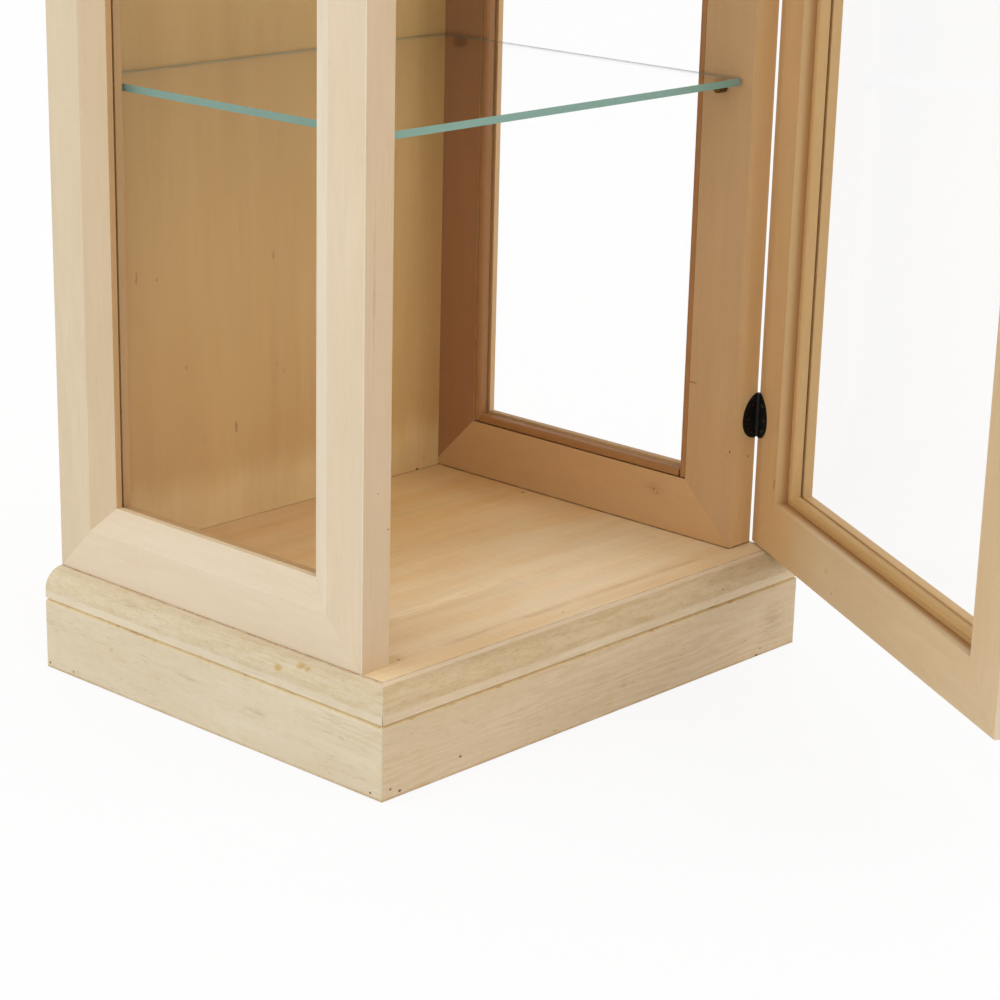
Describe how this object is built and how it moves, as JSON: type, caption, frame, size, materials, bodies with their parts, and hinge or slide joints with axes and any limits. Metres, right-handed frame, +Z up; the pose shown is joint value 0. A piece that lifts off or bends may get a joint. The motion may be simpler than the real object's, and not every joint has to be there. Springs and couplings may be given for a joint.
{
  "type": "display cabinet",
  "caption": "Tall, narrow wooden display cabinet with a moulded plinth and top, glazed sides, glass shelves and a glazed door on butterfly hinges.",
  "frame": {"origin": "middle of the front plinth board's underside", "axes": "+Z up; +X to the right as seen from the front; -Y towards the front, where the door is; modelled at rest with the door standing open by 59.5 degrees"},
  "size_m": [0.5257, 0.7967, 1.75],
  "materials": {
    "limed_wood": "matt, limed",
    "frame_wood": "matt, unfinished",
    "board_wood": "matt, unfinished",
    "panel_wood": "matt, unfinished",
    "clear_glass": "clear, polished",
    "black_iron": "satin black",
    "brass": "dulled",
    "steel": "zinc plated",
    "catch_plastic": "matt"
  },
  "bodies": {
    "cabinet": {"plinth_front": "limed_wood", "plinth_left": "limed_wood", "plinth_right": "limed_wood", "plinth_back_rail": "panel_wood", "plinth_corner_blocks": "panel_wood", "floor_cleats": "panel_wood", "base_moulding_front": "limed_wood", "base_moulding_left": "limed_wood", "base_moulding_right": "limed_wood", "floor_board": "board_wood", "left_front_stile": "frame_wood", "left_back_stile": "frame_wood", "left_bottom_rail": "frame_wood", "left_top_rail": "frame_wood", "left_glass": "clear_glass", "left_upright_beads": "frame_wood", "left_cross_beads": "frame_wood", "right_front_stile": "frame_wood", "right_back_stile": "frame_wood", "right_bottom_rail": "frame_wood", "right_top_rail": "frame_wood", "right_glass": "clear_glass", "right_upright_beads": "frame_wood", "right_cross_beads": "frame_wood", "back_panel": "panel_wood", "back_panel_screws": "steel", "ceiling_board": "board_wood", "cornice_front": "limed_wood", "cornice_left": "limed_wood", "cornice_right": "limed_wood", "fascia_front": "limed_wood", "fascia_left": "limed_wood", "fascia_right": "limed_wood", "fascia_back_rail": "panel_wood", "top_cover": "panel_wood", "lower_frame_screws": "steel", "upper_frame_screws": "steel", "shelf_lower": "clear_glass", "shelf_middle": "clear_glass", "shelf_upper": "clear_glass", "shelf_pins": "brass", "hinge_frame_leaves": "black_iron", "hinge_pins": "black_iron", "hinge_frame_screws": "brass", "magnetic_catch": "catch_plastic", "catch_screws": "steel"},
    "door": {"hinge_door_leaves": "black_iron", "hinge_door_screws": "brass", "door_hinge_stile": "frame_wood", "door_free_stile": "frame_wood", "door_bottom_rail": "frame_wood", "door_top_rail": "frame_wood", "door_glass": "clear_glass", "door_upright_beads": "frame_wood", "door_cross_beads": "frame_wood", "door_knob": "black_iron", "knob_screw": "steel", "strike_plate": "steel", "strike_screw": "steel"}
  },
  "joints": [
    {"name": "door_hinge", "type": "hinge", "parent": "cabinet", "child": "door", "pos_m": [0.237, 0.03055, 0.203], "axis": [0, 0, 1], "range_deg": [-59.5, 105.5]}
  ]
}
